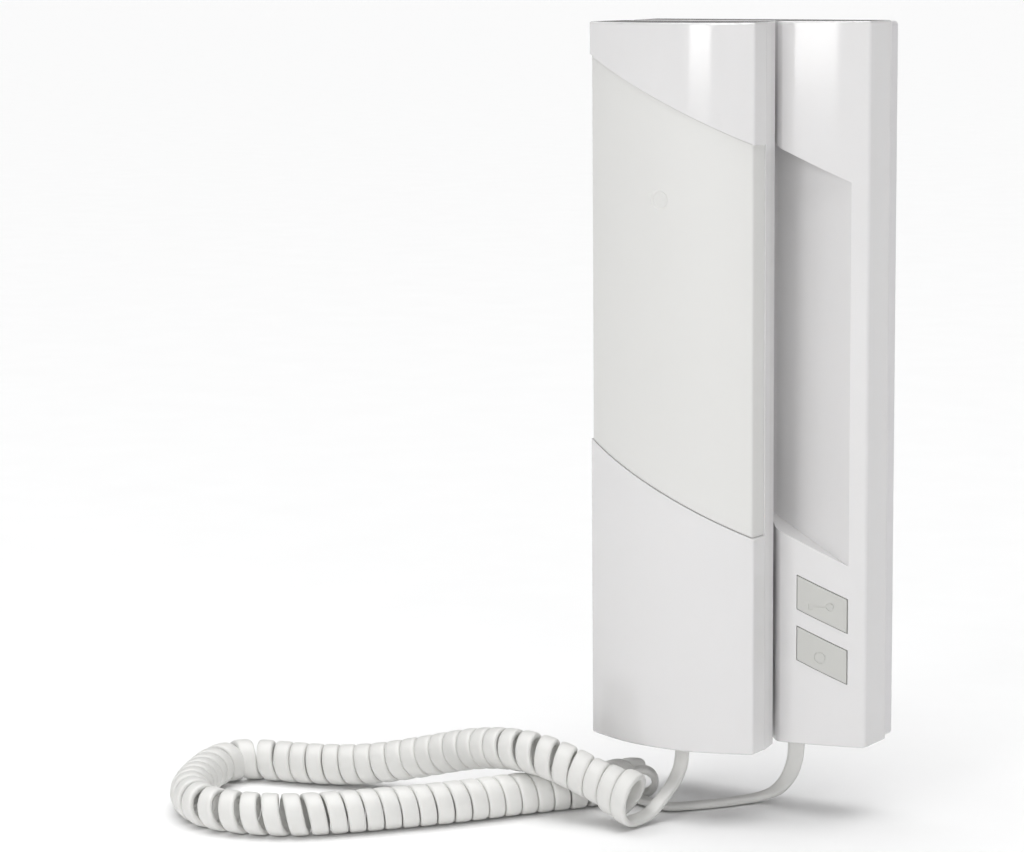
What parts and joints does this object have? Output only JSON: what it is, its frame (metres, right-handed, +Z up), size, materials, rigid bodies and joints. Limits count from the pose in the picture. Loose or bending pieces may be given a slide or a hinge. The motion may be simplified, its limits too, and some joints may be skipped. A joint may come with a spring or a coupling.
{
  "type": "slimline wall phone",
  "caption": "Slim white wall phone: a full-height lift-off handset beside a base with a slanted finger scoop, slanted keys and a flat curly cord.",
  "frame": {"origin": "midway between the two wall screws, on the wall plane", "axes": "+Z up along the phone's length, +Y into the wall, front faces -Y, +X towards the keys"},
  "size_m": [0.1941, 0.1292, 0.232],
  "materials": {
    "shell_white": "moulded ABS, semi-gloss",
    "panel_white": "moulded ABS, satin",
    "plate_white": "moulded ABS, satin",
    "key_grey": "moulded, fine satin",
    "switch_black": "moulded",
    "plunger_red": "moulded",
    "spring_steel": "drawn wire",
    "board_green": "solder mask over glass epoxy",
    "screw_steel": "zinc plated",
    "terminal_green": "moulded",
    "capacitor_sleeve": "shrink sleeve",
    "sounder_black": "moulded",
    "clamp_nylon": "nylon",
    "capsule_steel": "pressed can",
    "gasket_foam": "closed-cell foam",
    "boot_rubber": "moulded rubber",
    "weight_steel": "phosphated",
    "cord_white": "flexible PVC, satin"
  },
  "bodies": {
    "base": {"wall_plate": "plate_white", "base_cover": "shell_white", "circuit_board": "board_green", "board_screws": "screw_steel", "cover_screws": "screw_steel", "terminal_block": "terminal_green", "terminal_screws": "screw_steel", "line_capacitor": "capacitor_sleeve", "sounder": "sounder_black", "base_cord_clamp": "clamp_nylon", "door_switch": "switch_black", "aux_switch": "switch_black", "hook_switch": "switch_black", "hook_spring": "spring_steel", "cord_coil_handset_side": "cord_white", "cord_coil_base_side": "cord_white", "cord_lead_base": "cord_white"},
    "handset": {"handset_front_shell": "shell_white", "handset_grip_panel": "panel_white", "handset_rear_shell": "shell_white", "earpiece_capsule": "capsule_steel", "earpiece_gasket": "gasket_foam", "microphone_capsule": "capsule_steel", "microphone_boot": "boot_rubber", "handset_weight": "weight_steel", "handset_screws": "screw_steel", "handset_cord_clamp": "clamp_nylon", "cord_lead_handset": "cord_white"},
    "door_button": {"door_button": "key_grey", "door_switch_plunger": "plunger_red"},
    "aux_button": {"aux_button": "key_grey", "aux_switch_plunger": "plunger_red"},
    "hook_plunger": {"hook_plunger": "plate_white"}
  },
  "joints": [
    {"name": "handset_lift", "type": "slide", "parent": "base", "child": "handset", "axis": [0, -0.7071, 0.7071], "range_m": [0, 0.06]},
    {"name": "hook_plunger_slide", "type": "slide", "parent": "base", "child": "hook_plunger", "axis": [0, -1, 0], "range_m": [0, 0.003]},
    {"name": "door_button_press", "type": "slide", "parent": "base", "child": "door_button", "axis": [0, 1, 0], "range_m": [0, 0.0012], "stiffness_N_per_m": 250, "springref_m": -0.0004},
    {"name": "aux_button_press", "type": "slide", "parent": "base", "child": "aux_button", "axis": [0, 1, 0], "range_m": [0, 0.0012], "stiffness_N_per_m": 250, "springref_m": -0.0004}
  ],
  "couplings": [
    {"joint": "hook_plunger_slide", "follows": "handset_lift", "ratio": 0.05}
  ]
}
